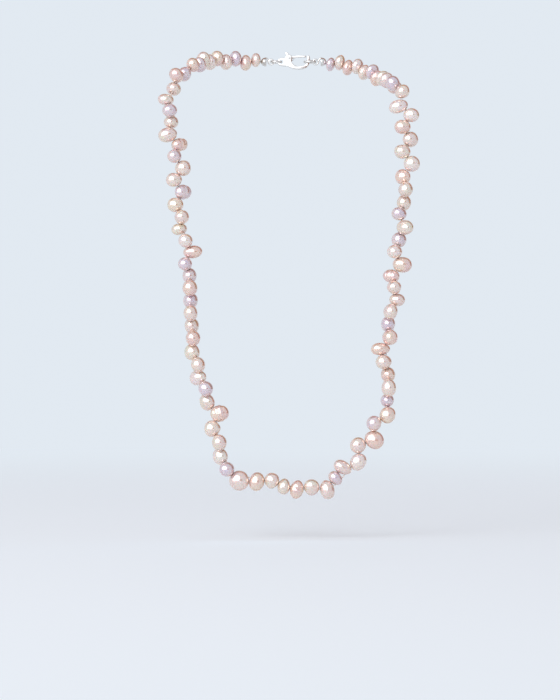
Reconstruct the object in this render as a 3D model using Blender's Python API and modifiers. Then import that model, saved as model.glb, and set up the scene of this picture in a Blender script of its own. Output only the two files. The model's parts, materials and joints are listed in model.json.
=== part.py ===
"""A pearl necklace, hanging as worn: off-round pearls on one thread, closed at the nape by a lobster clasp.

Metres, +Z up. The front drop lies in the plane y = 0 and the wearer's neck is behind it, on +Y. The origin is
in the middle of the neck opening, level with the top of the front drop. Lengths below are in millimetres.
"""

import math

import bmesh
import bpy
import numpy as np
from mathutils import Matrix, Vector

MM = 0.001
# Points this close are one, in metres.
WELD = 1e-6

# The thread's route, from the clasp's left end round the front to its right end. Each run of pearls
# starts where the one before it ends.
NAPE_LEFT_ROUTE = [
    (-11.8, 26.5, 6.0),
    (-20.2, 24.0, 6.2),
    (-26.4, 19.8, 5.8),
    (-30.8, 14.6, 5.0),
]
LEFT_ROUTE = [
    (-33.9, 7.8, 2.9),
    (-37.6, 3.0, -0.2),
    (-41.4, 0.4, -5.2),
    (-42.8, 0.0, -13.0),
    (-42.2, 0.0, -20.0),
    (-40.2, 0.0, -29.0),
    (-39.6, 0.0, -44.0),
    (-37.6, 0.0, -57.0),
    (-36.0, 0.0, -72.0),
    (-35.2, 0.0, -90.0),
    (-32.4, 0.0, -104.0),
    (-27.4, 0.0, -119.0),
    (-25.4, 0.0, -130.0),
]
BOTTOM_ROUTE = [
    (-21.0, 0.0, -138.8),
    (-12.0, 0.0, -141.2),
    (-3.0, 0.0, -143.2),
    (7.0, 0.0, -144.8),
]
RIGHT_ROUTE = [
    (14.0, 0.0, -143.4),
    (20.2, 0.0, -135.0),
    (27.6, 0.0, -124.0),
    (32.2, 0.0, -115.0),
    (32.4, 0.0, -104.0),
    (31.6, 0.0, -95.0),
    (33.4, 0.0, -83.0),
    (35.2, 0.0, -69.0),
    (36.8, 0.0, -54.0),
    (38.6, 0.0, -40.0),
    (39.0, 0.0, -26.0),
    (38.4, 0.0, -13.0),
    (35.2, 2.0, -5.8),
]
NAPE_RIGHT_ROUTE = [
    (31.8, 12.2, -2.6),
    (27.6, 18.8, 1.0),
    (20.2, 24.0, 4.2),
    (11.8, 26.5, 6.0),
]
ROUTE_STEPS = 16

# One word per pearl, in order along the thread.
# Its letters up to the digit: the way the pearl leans off the thread (left, right, front, back, up, down),
# capital when the hole is near the pearl's end, small when it is near the middle.
# The digit: how much of the thread the pearl takes up. Then its form (oval, long, small, grooved, big) and
# its tone (peach, lavender, cream, white).
NAPE_LEFT_PEARLS = "u3sc d4op u4ol d4oc u4op d4ow u4oc d4ol".split()
LEFT_PEARLS = (
    "u5sp B5ol FL4op B5oc L4oc F4ol B4oc L5lc BR4gp FL4sl R5oc L4oc BR5gl L5op F5oc L4oc "
    "F5ow R4lp FL4sl B5ol F5op B5ol F5oc B5oc F5op LB6oc F5oc LB5lw F5ol BL6oc R6gp L6oc "
    "F6oc BL6ow FL5ol"
).split()
BOTTOM_PEARLS = "D7bc d6lp u5oc d4oc d5lp u6oc d6bc".split()
RIGHT_PEARLS = (
    "L5ol L5lc R6ow L5oc R6lp FL5ol R6op B4sl F6oc B5op FL5oc L4lp FR5op B5ol F5oc R4oc "
    "F4oc BL4gp R5lp FL4ow B5ol FR5lc FL4ol B5oc F5gc BL5op R5ow L4oc BR5oc L4op R4ow L4lw "
    "FR4oc F5ol B4op u4ol"
).split()
NAPE_RIGHT_PEARLS = "u4oc d4op u4ol d4oc u4ow d4op u4oc d3sl".split()

# The thread taken up by a pearl: a base length and a step for each digit.
PITCH_BASE = 2.0
PITCH_STEP = 0.5

# Half length, half width and taper of each form. The taper makes the end that leans out the fat one.
FORMS = {
    "o": (2.80, 2.52, 0.06),
    "l": (3.35, 2.45, 0.04),
    "s": (2.50, 2.32, 0.03),
    "g": (3.20, 2.50, 0.02),
    "b": (3.45, 2.80, 0.05),
}
TONES = {
    "p": (0.93, 0.72, 0.62),
    "l": (0.82, 0.72, 0.80),
    "c": (0.93, 0.85, 0.78),
    "w": (0.93, 0.90, 0.90),
}
# How far out of the pearl's middle the hole is, as a share of its half length.
STRONG_LEAN = 0.58
SLIGHT_LEAN = 0.22
# A pearl's usual depth along the thread over its length across it.
DEPTH_SHARE = 0.9
WAYS = {
    "l": (-1.0, 0.0, 0.0),
    "r": (1.0, 0.0, 0.0),
    "f": (0.0, -1.0, 0.0),
    "b": (0.0, 1.0, 0.0),
    "u": (0.0, 0.0, 1.0),
    "d": (0.0, 0.0, -1.0),
}

HOLE_RADIUS = 0.45
THREAD_RADIUS = 0.20
WAIST_RADIUS = 0.75

# The gaps between pearls: a least gap, and what two round shoulders that meet at a slant need on top.
GAP_IN_GROUP = 0.10
GAP_BETWEEN_GROUPS = 0.16
SHOULDER_ROOM = 0.58
# A group's swing about the thread, and the slant that a band's fold adds between the pearls at its hinge.
SWING = math.radians(10.0)
FOLD_SLANT = 0.36

FRONT_GROUP = 2
NAPE_GROUP = 4
# The bands of the front drop hinge under these pearls, counted from the top of each side.
BAND_ENDS = {"upper": 4, "middle": 16, "lower": 26}
THREAD_BREAK = 0.32

PEARL_SIDES = 8
PEARL_LATITUDES = (32.0, 62.0, 90.0, 118.0, 148.0)
SHARP_ANGLE = math.radians(70.0)
# Past this share of +Y, a thread's direction is too near it for +Y to set how the rings turn.
MOSTLY_BACKWARDS = 0.6

# The clasp lies along X behind the neck.
CLASP_Y = 26.5
CLASP_Z = 6.0
CUP_X = 10.2
CUP_RADIUS = 1.55
CUP_WALL = 0.3
CUP_HOLE = 0.42
CUP_OUTER_ANGLES = (16.0, 40.0, 65.0, 95.0)
CUP_INNER_ANGLES = (95.0, 65.0, 40.0, 20.0)
# The end knot: how far past the cup's middle each point is, and the radius there.
KNOT = ((-0.95, 0.2), (-0.75, 0.5), (-0.35, 0.78), (0.05, 0.78), (0.4, 0.5), (0.6, 0.15))
LEFT_LOOP_X = -8.0
RIGHT_LOOP_X = 7.85
LOOP_RADIUS = 0.92
LOOP_WIRE = 0.27
JUMP_RING_X = -6.2
JUMP_RING_RADIUS = 1.75
JUMP_RING_WIRE = 0.35
END_RING_X = 5.8
END_RING_RADIUS = 1.9
END_RING_WIRE = 0.4
CLAW_HALF = 0.7
EYE_X = -4.3
EYE_HOLE = 0.8
PIVOT = (-1.6, 1.35)
RIVET_RADIUS = 0.3
RIVET_PLAY = 0.06
RIVET_HALF = 0.75
SLOT_LOW = (-3.2, -0.48, 0.2)
SLOT_HIGH = (0.6, 0.48, 4.0)
LEVER_HALF = 0.32
EDGE_ROUND = 0.18
RING_STEPS = 16
WIRE_STEPS = 6
PIN_STEPS = 14
CUP_STEPS = 12

CLAW_OUTLINE = [
    (-5.75, 0.0),
    (-5.3, -1.05),
    (-4.2, -1.45),
    (-2.6, -1.55),
    (0.0, -2.45),
    (2.6, -2.65),
    (4.8, -1.9),
    (5.8, -0.1),
    (5.85, 1.3),
    (5.45, 2.3),
    (4.95, 2.3),
    (4.85, 1.3),
    (4.75, 0.0),
    (4.0, -1.1),
    (2.4, -1.55),
    (0.4, -1.2),
    (-0.55, -0.2),
    (-0.5, 1.2),
    (-0.9, 2.35),
    (-2.1, 2.45),
    (-3.1, 1.5),
    (-4.3, 1.45),
    (-5.3, 1.05),
]
LEVER_OUTLINE = [
    (-2.1, 1.0),
    (-2.75, 2.5),
    (-2.95, 3.3),
    (-2.3, 3.45),
    (-1.6, 2.6),
    (-0.6, 2.15),
    (1.6, 2.35),
    (3.6, 2.3),
    (4.5, 2.1),
    (4.5, 1.75),
    (3.6, 1.64),
    (1.6, 1.52),
    (-0.4, 1.1),
    (-1.3, 0.68),
]
SPRING_PATH = [(-2.6, 0.78), (-1.9, 0.42), (-1.0, 0.36), (-0.35, 0.55), (0.1, 0.95)]
SPRING_WIRE = 0.1


def unit(vector):
    return vector / np.linalg.norm(vector)


def across(vector, axis):
    """The part of a vector that is square to an axis, at length 1."""
    return unit(vector - axis * (vector @ axis))


def turned(vector, axis, angle):
    """A vector square to the axis, turned about it."""
    return vector * math.cos(angle) + np.cross(axis, vector) * math.sin(angle)


def smooth_line(points, steps):
    """A line through the points that keeps its direction at each, and the sample number of each point."""
    points = np.array(points)
    spans = np.linalg.norm(np.diff(points, axis=0), axis=1)
    knots = np.concatenate([[0.0], np.cumsum(spans)])
    slopes = np.gradient(points, knots, axis=0)
    samples = []
    for k, span in enumerate(spans):
        for t in np.arange(steps) / steps:
            start = (1 + 2 * t) * (1 - t) ** 2 * points[k] + t * (1 - t) ** 2 * span * slopes[k]
            end = t**2 * (3 - 2 * t) * points[k + 1] - t**2 * (1 - t) * span * slopes[k + 1]
            samples.append(start + end)
    samples.append(points[-1])
    return np.array(samples)


def smooth_loop(points, steps):
    """A closed outline through the points."""
    count = len(points)
    line = smooth_line([points[k % count] for k in range(-2, count + 3)], steps)
    return line[2 * steps : (count + 2) * steps]


def read_pearl(word):
    digit = next(k for k, letter in enumerate(word) if letter.isdigit())
    lean, form, tone = word[:digit], word[digit + 1], word[digit + 2]
    half_length, half_width, taper = FORMS[form]
    share = STRONG_LEAN if lean[0].isupper() else SLIGHT_LEAN
    return {
        "way": sum(np.array(WAYS[letter]) for letter in lean.lower()),
        "pitch": PITCH_BASE + PITCH_STEP * int(word[digit]),
        "length": half_length,
        "width": half_width,
        "taper": taper,
        "share": share,
        "tone": tone,
    }


RUNS = (
    (NAPE_LEFT_ROUTE, NAPE_LEFT_PEARLS),
    (LEFT_ROUTE, LEFT_PEARLS),
    (BOTTOM_ROUTE, BOTTOM_PEARLS),
    (RIGHT_ROUTE, RIGHT_PEARLS),
    (NAPE_RIGHT_ROUTE, NAPE_RIGHT_PEARLS),
)


def strand_joints():
    """The points where one pearl ends and the next begins: each run's pearls share out its length."""
    line = smooth_line([point for route, _ in RUNS for point in route], ROUTE_STEPS)
    reach = np.concatenate([[0.0], np.cumsum(np.linalg.norm(np.diff(line, axis=0), axis=1))])
    marks, first = [0.0], 0
    for route, words in RUNS:
        first += len(route)
        low, high = marks[-1], reach[min(first * ROUTE_STEPS, len(reach) - 1)]
        shares = np.cumsum([read_pearl(word)["pitch"] for word in words])
        marks += list(low + (high - low) * shares / shares[-1])
    return np.stack([np.interp(marks, reach, line[:, k]) for k in range(3)], axis=1)


def nape_counts():
    return len(NAPE_LEFT_PEARLS), len(NAPE_RIGHT_PEARLS)


def pearl_groups():
    """Runs of pearl numbers that are one body: fours behind the neck and pairs in front."""
    total = sum(len(words) for _, words in RUNS)
    before, after = nape_counts()
    cuts = list(range(0, before, NAPE_GROUP))
    cuts += list(range(before, total - after, FRONT_GROUP))
    cuts += list(range(total - after, total + 1, NAPE_GROUP))
    return [range(low, high) for low, high in zip(cuts, cuts[1:])]


def band_joints():
    """For each band of the front drop, the numbers of the left and right joint that it hangs from."""
    total = sum(len(words) for _, words in RUNS)
    before, after = nape_counts()
    return {name: (before + count, total - after - count) for name, count in BAND_ENDS.items()}


def slope_at_hole(pearl):
    """The slant of the pearl's skin round its hole: none with the hole through the middle."""
    return DEPTH_SHARE * math.tan(math.asin(pearl["share"]))


def gap_at(number, pearls, chords, starts, bands):
    """How far apart two neighbours' holes are, so that their shoulders clear each other."""
    one, other = pearls[number - 1], pearls[number]
    bend = chords[number] - chords[number - 1]
    between = number in starts
    gap = GAP_BETWEEN_GROUPS if between else GAP_IN_GROUP
    worst = 0.0
    for angle in (-SWING, 0.0, SWING) if between else (0.0,):
        lean = turned(one["out"], chords[number - 1], angle)
        slant = lean * slope_at_hole(one) + other["out"] * slope_at_hole(other) + bend
        worst = max(worst, np.linalg.norm(slant))
    if number in bands:
        worst = worst + FOLD_SLANT
    return gap + SHOULDER_ROOM * worst**2


def strand():
    """Every pearl's place and size, and the thread's joints."""
    joints = strand_joints()
    pearls = [read_pearl(word) for _, words in RUNS for word in words]
    chords = [unit(step) for step in np.diff(joints, axis=0)]
    for pearl, chord in zip(pearls, chords):
        pearl["out"] = across(pearl["way"], chord)
        pearl["along"] = chord
    starts = {group[0] for group in pearl_groups()}
    bands = {number for pair in band_joints().values() for number in pair}
    gaps = [GAP_BETWEEN_GROUPS]
    gaps += [gap_at(k, pearls, chords, starts, bands) for k in range(1, len(pearls))]
    gaps += [GAP_BETWEEN_GROUPS]
    for k, pearl in enumerate(pearls):
        low = joints[k] + pearl["along"] * gaps[k] / 2
        high = joints[k + 1] - pearl["along"] * gaps[k + 1] / 2
        sine = pearl["share"]
        pearl["station"] = (low + high) / 2
        pearl["reach"] = np.linalg.norm(high - low) / 2
        pearl["depth"] = pearl["reach"] / (math.sqrt(1 - sine**2) * (1 - pearl["taper"] * sine))
    return pearls, joints


def circle(centre, along, toward, radius):
    east = across(toward, along)
    north = np.cross(along, east)
    turns = 2 * math.pi * np.arange(PEARL_SIDES) / PEARL_SIDES
    return [centre + radius * (math.cos(t) * east + math.sin(t) * north) for t in turns]


def pearl_rings(pearl, toward):
    """Rings of points round the pearl, from near its start hole to near its end hole.

    The pearl is an egg, a little fatter where it leans out, with its middle off the thread. The rings'
    poles are bent back to the two holes, so that no ring crosses them.
    """
    along, out = pearl["along"], pearl["out"]
    side = np.cross(along, out)
    east = across(toward, along)
    north = np.cross(along, east)
    lean_angle = math.atan2(out @ north, out @ east)
    tilt = math.asin(pearl["share"])
    centre = pearl["station"] + out * pearl["length"] * pearl["share"]
    rings = []
    for latitude in np.radians(PEARL_LATITUDES):
        height = -math.cos(latitude)
        bend = tilt * height
        ring = []
        for azimuth in 2 * math.pi * np.arange(PEARL_SIDES) / PEARL_SIDES - lean_angle:
            flat_x = math.sin(latitude) * math.cos(azimuth)
            y = math.sin(latitude) * math.sin(azimuth)
            x = flat_x * math.cos(bend) - height * math.sin(bend)
            z = flat_x * math.sin(bend) + height * math.cos(bend)
            fatness = 1 + pearl["taper"] * x
            point = centre + out * pearl["length"] * x
            point = point + side * pearl["width"] * fatness * y + along * pearl["depth"] * fatness * z
            ring.append(point)
        rings.append(ring)
    return rings


def group_rings(pearls, joints, group):
    """The rings of a group of drilled pearls: over the outside, end to end, then back through the hole."""
    start = pearls[group[0]]["along"]
    toward = np.array((0.0, 1.0, 0.0)) if abs(start[1]) < MOSTLY_BACKWARDS else np.array((0.0, 0.0, 1.0))
    rings = []
    for k in group:
        pearl = pearls[k]
        step = pearl["along"] * pearl["reach"]
        first = HOLE_RADIUS if k == group[0] else WAIST_RADIUS
        last = HOLE_RADIUS if k == group[-1] else WAIST_RADIUS
        rings.append(circle(pearl["station"] - step, pearl["along"], toward, first))
        rings += pearl_rings(pearl, toward)
        rings.append(circle(pearl["station"] + step, pearl["along"], toward, last))
    for k in reversed(group[1:]):
        along = unit(pearls[k - 1]["along"] + pearls[k]["along"])
        rings.append(circle(joints[k], along, toward, HOLE_RADIUS))
    return rings


def new_object(name, mesh, material):
    obj = bpy.data.objects.new(name, mesh)
    mesh.materials.append(material)
    mesh.shade_smooth()
    mesh.set_sharp_from_angle(angle=SHARP_ANGLE)
    bpy.data.collections["Necklace"].objects.link(obj)
    return obj


def new_mesh(name, build):
    """The bmesh as a mesh with its faces turned outwards."""
    mesh = bpy.data.meshes.new(name)
    bmesh.ops.recalc_face_normals(build, faces=build.faces)
    build.to_mesh(mesh)
    build.free()
    return mesh


def loft_mesh(name, rings, origin):
    """A closed tube of quads whose last ring joins its first."""
    build = bmesh.new()
    rows = [[build.verts.new((point - origin) * MM) for point in ring] for ring in rings]
    for row, following in zip(rows, rows[1:] + rows[:1]):
        for j in range(len(row)):
            ahead = (j + 1) % len(row)
            build.faces.new((row[j], row[ahead], following[ahead], following[j]))
    return new_mesh(name, build)


def material(name, colour, roughness, metallic):
    made = bpy.data.materials.new(name)
    made.use_nodes = True
    shader = made.node_tree.nodes["Principled BSDF"]
    shader.inputs["Base Color"].default_value = (*colour, 1.0)
    shader.inputs["Roughness"].default_value = roughness
    shader.inputs["Metallic"].default_value = metallic
    made.diffuse_color = (*colour, 1.0)
    return made


def group_name(number, groups):
    """Nape fours are named for their side, and front pairs by their count from the upper left."""
    nape = len(NAPE_LEFT_PEARLS) // NAPE_GROUP
    last = len(groups) - len(NAPE_RIGHT_PEARLS) // NAPE_GROUP
    if number < nape:
        return f"nape_pearls_left_{number + 1}"
    if number >= last:
        return f"nape_pearls_right_{len(groups) - number}"
    return f"pearl_pair_{number - nape + 1:02d}"


def swing_axis(joints, group):
    """The line through a group's two end holes, which it swings about."""
    low, high = joints[group[0]], joints[group[-1] + 1]
    return (low + high) / 2, unit(high - low)


def add_pearls(pearls, joints):
    groups = pearl_groups()
    for number, group in enumerate(groups):
        name = group_name(number, groups)
        origin, _ = swing_axis(joints, group)
        colour = np.mean([TONES[pearls[k]["tone"]] for k in group], axis=0)
        nacre = material(name + "_nacre", colour, 0.2, 0.0)
        pair = new_object(name, loft_mesh(name, group_rings(pearls, joints, group), origin), nacre)
        pair.location = origin * MM


def wire(name, points, radii, made):
    """A round wire through the points, with its own radius at each."""
    curve = bpy.data.curves.new(name, "CURVE")
    curve.dimensions = "3D"
    curve.bevel_depth = MM
    curve.bevel_resolution = 2
    curve.use_fill_caps = True
    line = curve.splines.new("POLY")
    line.points.add(len(points) - 1)
    for place, point, radius in zip(line.points, points, radii):
        place.co = (*(point * MM), 1.0)
        place.radius = radius
    guide = bpy.data.objects.new(name + "_guide", curve)
    bpy.data.collections["Necklace"].objects.link(guide)
    bpy.context.view_layer.update()
    swept = bpy.data.meshes.new_from_object(guide.evaluated_get(bpy.context.evaluated_depsgraph_get()))
    bpy.data.objects.remove(guide)
    build = bmesh.new()
    build.from_mesh(swept)
    bpy.data.meshes.remove(swept)
    bmesh.ops.remove_doubles(build, verts=build.verts, dist=WELD)
    new_object(name, new_mesh(name, build), made)


def knotted_end(sign):
    """The thread's end past the outermost pearl: through the cup's hole and into a knot."""
    centre = np.array((sign * CUP_X, CLASP_Y, CLASP_Z))
    inward = np.array((-sign, 0.0, 0.0))
    return [centre + inward * x for x, _ in KNOT], [radius for _, radius in KNOT]


def add_thread(joints):
    """The thread in lengths that break where the front drop's bands hinge."""
    silk = material("silk_thread", (0.90, 0.86, 0.80), 0.7, 0.0)
    bands = band_joints()
    last = len(joints) - 1
    marks = [0] + [low for low, _ in bands.values()] + [high for _, high in reversed(bands.values())] + [last]
    names = ("nape_left", "upper_left", "middle_left", "lower", "middle_right", "upper_right", "nape_right")
    for name, low, high in zip(names, marks, marks[1:]):
        points = list(joints[low : high + 1])
        if low > 0:
            points[0] = points[0] + unit(points[1] - points[0]) * THREAD_BREAK / 2
        if high < last:
            points[-1] = points[-1] + unit(points[-2] - points[-1]) * THREAD_BREAK / 2
        radii = [THREAD_RADIUS] * len(points)
        if low == 0:
            knot, knot_radii = knotted_end(-1)
            points, radii = knot[::-1] + points, knot_radii[::-1] + radii
        if high == last:
            knot, knot_radii = knotted_end(1)
            points, radii = points + knot, radii + knot_radii
        wire("thread_" + name, points, radii, silk)


def at_clasp(obj, x=0.0, z=0.0):
    """The object, moved to a place on the clasp's plane."""
    obj.location = (x * MM, CLASP_Y * MM, (CLASP_Z + z) * MM)
    return obj


def helper(name, mesh):
    """An object that cuts or joins another, and isn't a piece itself."""
    obj = bpy.data.objects.new(name, mesh)
    bpy.data.collections["Cutters"].objects.link(obj)
    obj.hide_render = True
    obj.display_type = "WIRE"
    return obj


def boolean(obj, tool, operation):
    modifier = obj.modifiers.new(operation.lower() + "_" + tool.name, "BOOLEAN")
    modifier.operation = operation
    modifier.solver = "EXACT"
    modifier.object = tool


def torus_mesh(name, radius, thickness, tilt):
    """A ring about the origin, flat in XY until it is tilted about X."""
    bpy.ops.mesh.primitive_torus_add(
        major_segments=RING_STEPS,
        minor_segments=WIRE_STEPS,
        major_radius=radius * MM,
        minor_radius=thickness * MM,
    )
    ring = bpy.context.object
    mesh = ring.data
    bpy.data.objects.remove(ring)
    mesh.name = name
    mesh.transform(Matrix.Rotation(math.radians(tilt), 4, "X"))
    return mesh


def rod_mesh(name, start, end, radius, sides):
    """A round rod with flat ends."""
    start, end = Vector(start) * MM, Vector(end) * MM
    turn = (end - start).to_track_quat("Z", "Y").to_matrix().to_4x4()
    build = bmesh.new()
    bmesh.ops.create_cone(
        build,
        cap_ends=True,
        segments=sides,
        radius1=radius * MM,
        radius2=radius * MM,
        depth=(end - start).length,
        matrix=Matrix.Translation((start + end) / 2) @ turn,
    )
    return new_mesh(name, build)


def pin_mesh(name, radius, half):
    """A round pin along Y."""
    return rod_mesh(name, (0.0, -half, 0.0), (0.0, half, 0.0), radius, PIN_STEPS)


def box_mesh(name, low, high):
    build = bmesh.new()
    bmesh.ops.create_cube(build, size=1.0)
    for vert in build.verts:
        vert.co = [((a + b) / 2 + (b - a) * c) * MM for a, b, c in zip(low, high, vert.co)]
    return new_mesh(name, build)


def plate_mesh(name, outline, half):
    """A flat piece in the XZ plane, cut to an outline, the given half thickness to each side."""
    build = bmesh.new()
    face = build.faces.new([build.verts.new((x * MM, -half * MM, z * MM)) for x, z in outline])
    swept = bmesh.ops.extrude_face_region(build, geom=[face])["geom"]
    far_side = [item for item in swept if isinstance(item, bmesh.types.BMVert)]
    bmesh.ops.translate(build, verts=far_side, vec=(0.0, 2 * half * MM, 0.0))
    return new_mesh(name, build)


def cup_profile(name, sign):
    """Half of a cup's section, in the XZ plane: a shell open towards the clasp, with a hole at its back."""
    inner = CUP_RADIUS - CUP_WALL
    outline = [(math.radians(angle), CUP_RADIUS) for angle in CUP_OUTER_ANGLES]
    outline += [(math.radians(angle), inner) for angle in CUP_INNER_ANGLES]
    build = bmesh.new()
    points = []
    for angle, radius in outline:
        x = sign * math.cos(angle) * radius
        points.append(build.verts.new((x * MM, 0.0, max(CUP_HOLE, math.sin(angle) * radius) * MM)))
    for one, other in zip(points, points[1:] + points[:1]):
        build.edges.new((one, other))
    mesh = bpy.data.meshes.new(name)
    build.to_mesh(mesh)
    build.free()
    return mesh


def turned_about_x(obj, flipped):
    modifier = obj.modifiers.new("turn", "SCREW")
    modifier.axis = "X"
    modifier.steps = CUP_STEPS
    modifier.render_steps = CUP_STEPS
    modifier.use_normal_flip = flipped


def add_bead_tip(name, sign, loop_x, metal):
    """The cup for the end knot, its arm and the loop at the arm's end."""
    cup = at_clasp(new_object(name, cup_profile(name, sign), metal), sign * CUP_X)
    turned_about_x(cup, sign > 0)
    rim = (sign * CUP_X, 0.0, CUP_RADIUS - CUP_WALL / 2)
    near_loop = (loop_x + sign * LOOP_RADIUS, 0.0, LOOP_WIRE / 2)
    arm = at_clasp(helper(name + "_arm", rod_mesh(name + "_arm", rim, near_loop, LOOP_WIRE, WIRE_STEPS)))
    loop = at_clasp(helper(name + "_loop", torus_mesh(name + "_loop", LOOP_RADIUS, LOOP_WIRE, 90.0)), loop_x)
    boolean(cup, arm, "UNION")
    boolean(cup, loop, "UNION")


def rounded(obj):
    modifier = obj.modifiers.new("round_edges", "BEVEL")
    modifier.width = EDGE_ROUND * MM
    modifier.segments = 1
    modifier.limit_method = "ANGLE"
    modifier.angle_limit = math.radians(50)


def add_claw(metal):
    """The hook with its eye, forked for the lever and drilled for the rivet."""
    outline = smooth_loop(CLAW_OUTLINE, 2)
    claw = at_clasp(new_object("clasp_body", plate_mesh("clasp_body", outline, CLAW_HALF), metal))
    rounded(claw)
    eye = helper("eye_cutter", pin_mesh("eye_cutter", EYE_HOLE, 2 * CLAW_HALF))
    slot = helper("slot_cutter", box_mesh("slot_cutter", SLOT_LOW, SLOT_HIGH))
    hole = helper("rivet_cutter", pin_mesh("rivet_cutter", RIVET_RADIUS + RIVET_PLAY, 2 * CLAW_HALF))
    for cutter in (at_clasp(eye, EYE_X), at_clasp(slot), at_clasp(hole, *PIVOT)):
        boolean(claw, cutter, "DIFFERENCE")


def add_lever(metal):
    """The spring-loaded gate that closes the hook, with its thumb piece."""
    outline = smooth_loop(LEVER_OUTLINE, 2) - np.array(PIVOT)
    lever = at_clasp(new_object("clasp_lever", plate_mesh("clasp_lever", outline, LEVER_HALF), metal), *PIVOT)
    hole = helper("lever_cutter", pin_mesh("lever_cutter", RIVET_RADIUS + RIVET_PLAY, 2 * CLAW_HALF))
    boolean(lever, at_clasp(hole, *PIVOT), "DIFFERENCE")


def add_ring(name, x, radius, thickness, metal):
    at_clasp(new_object(name, torus_mesh(name, radius, thickness, 0.0), metal), x)


def add_clasp():
    silver = material("silver", (0.80, 0.79, 0.77), 0.22, 1.0)
    steel = material("spring_steel", (0.55, 0.55, 0.57), 0.35, 1.0)
    add_bead_tip("bead_tip_left", -1, LEFT_LOOP_X, silver)
    add_bead_tip("bead_tip_right", 1, RIGHT_LOOP_X, silver)
    add_ring("jump_ring", JUMP_RING_X, JUMP_RING_RADIUS, JUMP_RING_WIRE, silver)
    add_ring("end_ring", END_RING_X, END_RING_RADIUS, END_RING_WIRE, silver)
    add_claw(silver)
    add_lever(silver)
    at_clasp(new_object("clasp_rivet", pin_mesh("clasp_rivet", RIVET_RADIUS, RIVET_HALF), silver), *PIVOT)
    path = [np.array((x, CLASP_Y, CLASP_Z + z)) for x, z in SPRING_PATH]
    wire("clasp_spring", path, [SPRING_WIRE] * len(path), steel)


def clear_scene():
    for obj in list(bpy.data.objects):
        bpy.data.objects.remove(obj)
    for name in ("Necklace", "Cutters"):
        bpy.context.scene.collection.children.link(bpy.data.collections.new(name))


def main():
    clear_scene()
    pearls, joints = strand()
    add_pearls(pearls, joints)
    add_thread(joints)
    add_clasp()


main()
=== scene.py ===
"""The looks of a pearl necklace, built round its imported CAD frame: each pearl singly, its thread and clasp.

The frame is in metres, +Z up. Lengths below are in millimetres unless they say otherwise.
"""

import json
import math

import bmesh
import bpy
import numpy as np
from mathutils import Matrix, Vector
from mathutils.bvhtree import BVHTree


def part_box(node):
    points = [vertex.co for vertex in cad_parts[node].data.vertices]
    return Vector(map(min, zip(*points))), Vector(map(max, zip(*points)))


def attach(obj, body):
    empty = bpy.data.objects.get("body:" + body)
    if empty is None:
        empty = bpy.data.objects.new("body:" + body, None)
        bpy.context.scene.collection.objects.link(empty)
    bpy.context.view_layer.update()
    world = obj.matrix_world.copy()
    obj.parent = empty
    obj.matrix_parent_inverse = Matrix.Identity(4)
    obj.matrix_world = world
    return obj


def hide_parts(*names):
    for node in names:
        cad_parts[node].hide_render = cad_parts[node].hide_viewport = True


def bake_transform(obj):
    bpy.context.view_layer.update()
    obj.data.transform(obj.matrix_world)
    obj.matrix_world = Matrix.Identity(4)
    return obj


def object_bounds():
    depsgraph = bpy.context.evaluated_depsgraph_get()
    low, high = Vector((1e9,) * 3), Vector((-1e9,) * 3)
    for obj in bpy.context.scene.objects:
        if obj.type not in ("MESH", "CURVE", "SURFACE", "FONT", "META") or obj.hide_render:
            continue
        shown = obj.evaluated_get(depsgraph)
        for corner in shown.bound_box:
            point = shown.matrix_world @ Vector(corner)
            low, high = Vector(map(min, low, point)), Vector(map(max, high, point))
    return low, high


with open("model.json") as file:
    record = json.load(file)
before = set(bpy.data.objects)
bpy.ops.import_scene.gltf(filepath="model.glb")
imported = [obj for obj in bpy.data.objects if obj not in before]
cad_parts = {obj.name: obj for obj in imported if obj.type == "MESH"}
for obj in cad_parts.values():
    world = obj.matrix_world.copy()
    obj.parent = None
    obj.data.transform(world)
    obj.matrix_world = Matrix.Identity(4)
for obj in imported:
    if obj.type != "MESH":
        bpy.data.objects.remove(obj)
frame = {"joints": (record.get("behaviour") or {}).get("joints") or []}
CAD_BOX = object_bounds()

MM = 0.001

# The thread's route, as in the CAD model: from the clasp's left end round the front to its right end.
NAPE_LEFT_ROUTE = [
    (-11.8, 26.5, 6.0),
    (-20.2, 24.0, 6.2),
    (-26.4, 19.8, 5.8),
    (-30.8, 14.6, 5.0),
]
LEFT_ROUTE = [
    (-33.9, 7.8, 2.9),
    (-37.6, 3.0, -0.2),
    (-41.4, 0.4, -5.2),
    (-42.8, 0.0, -13.0),
    (-42.2, 0.0, -20.0),
    (-40.2, 0.0, -29.0),
    (-39.6, 0.0, -44.0),
    (-37.6, 0.0, -57.0),
    (-36.0, 0.0, -72.0),
    (-35.2, 0.0, -90.0),
    (-32.4, 0.0, -104.0),
    (-27.4, 0.0, -119.0),
    (-25.4, 0.0, -130.0),
]
BOTTOM_ROUTE = [
    (-21.0, 0.0, -138.8),
    (-12.0, 0.0, -141.2),
    (-3.0, 0.0, -143.2),
    (7.0, 0.0, -144.8),
]
RIGHT_ROUTE = [
    (14.0, 0.0, -143.4),
    (20.2, 0.0, -135.0),
    (27.6, 0.0, -124.0),
    (32.2, 0.0, -115.0),
    (32.4, 0.0, -104.0),
    (31.6, 0.0, -95.0),
    (33.4, 0.0, -83.0),
    (35.2, 0.0, -69.0),
    (36.8, 0.0, -54.0),
    (38.6, 0.0, -40.0),
    (39.0, 0.0, -26.0),
    (38.4, 0.0, -13.0),
    (35.2, 2.0, -5.8),
]
NAPE_RIGHT_ROUTE = [
    (31.8, 12.2, -2.6),
    (27.6, 18.8, 1.0),
    (20.2, 24.0, 4.2),
    (11.8, 26.5, 6.0),
]
ROUTE_STEPS = 16

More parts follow.
